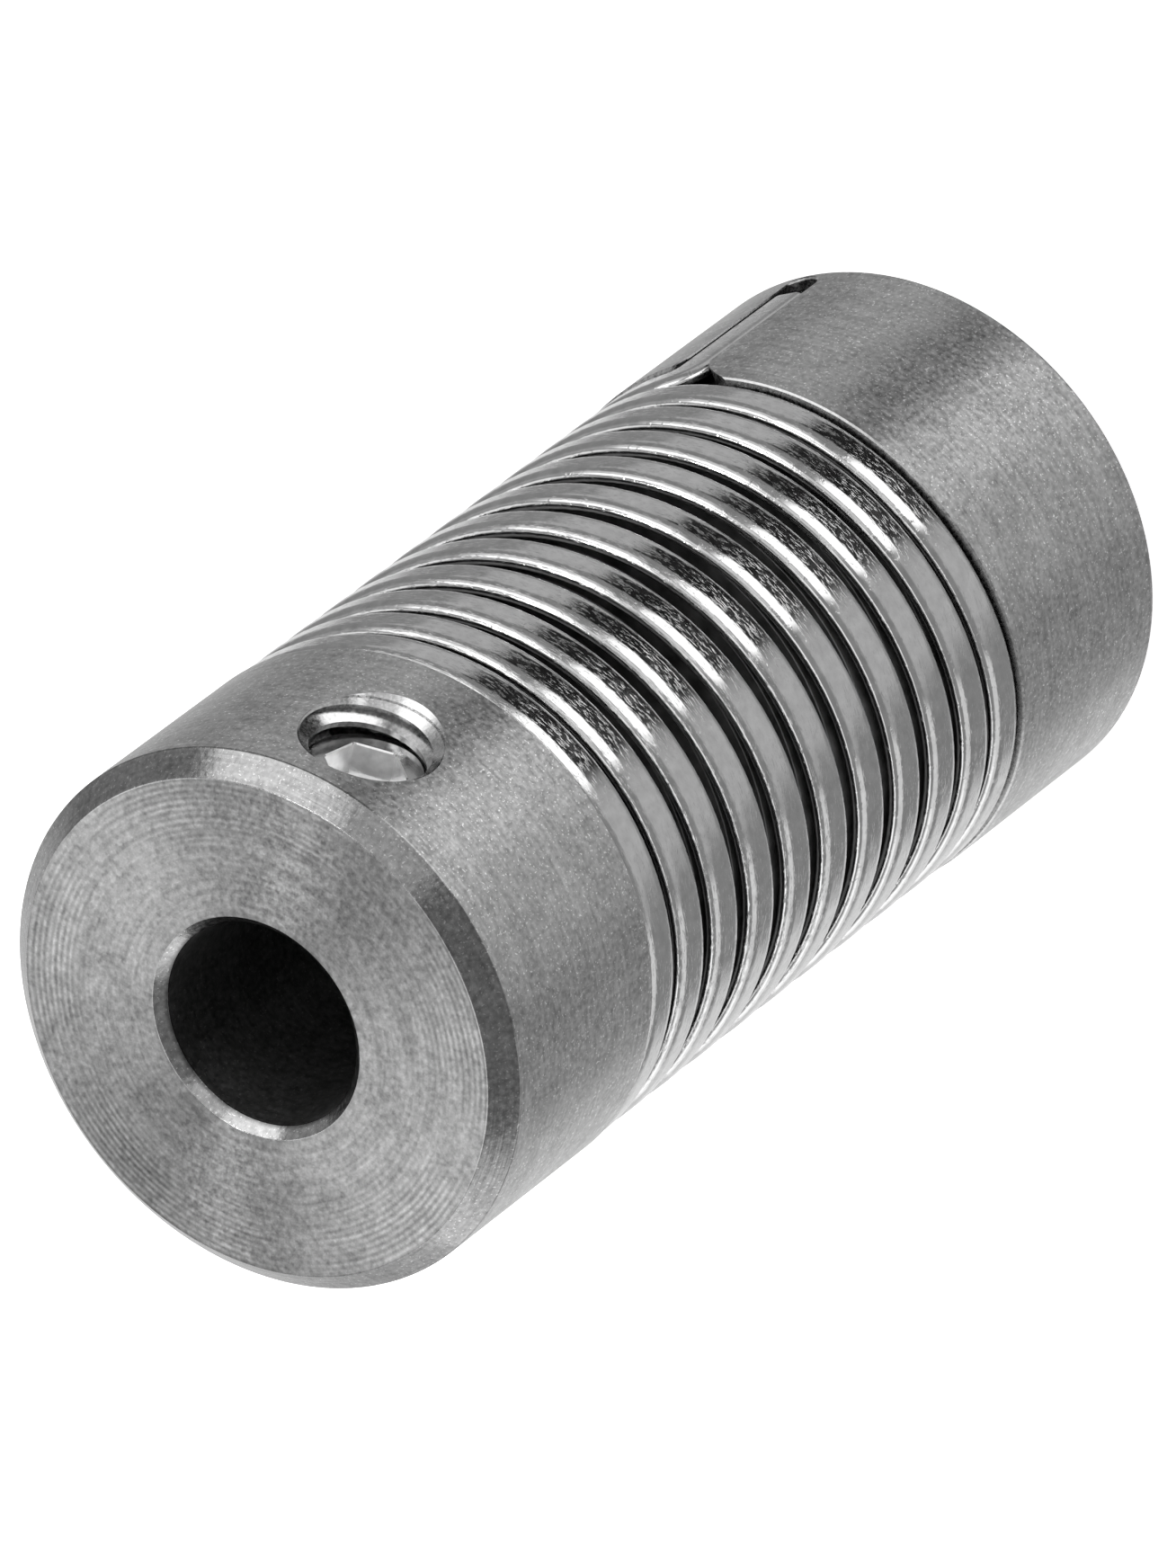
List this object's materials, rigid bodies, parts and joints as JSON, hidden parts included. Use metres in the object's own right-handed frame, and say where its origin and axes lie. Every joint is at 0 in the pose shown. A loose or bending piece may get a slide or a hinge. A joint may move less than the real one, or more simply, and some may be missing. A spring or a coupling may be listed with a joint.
{
  "type": "spring coupling",
  "caption": "Flexible shaft coupling: bored steel hubs joined by contra-wound flat-wire springs, each hub clamped to its shaft by a radial set screw.",
  "frame": {"origin": "centre of the rear hub's end face, on the coupling's axis", "axes": "+Z along the axis from the rear hub to the front hub, +X through the front hub's set screw"},
  "size_m": [0.016, 0.016, 0.035],
  "materials": {
    "hub": "fine turned, matte",
    "spring": "rolled and polished",
    "screw": "bright"
  },
  "bodies": {
    "root": {"rear_hub": "hub", "rear_set_screw": "screw", "inner_spring": "spring", "middle_spring": "spring", "outer_spring": "spring", "front_hub": "hub", "front_set_screw": "screw"}
  },
  "joints": []
}
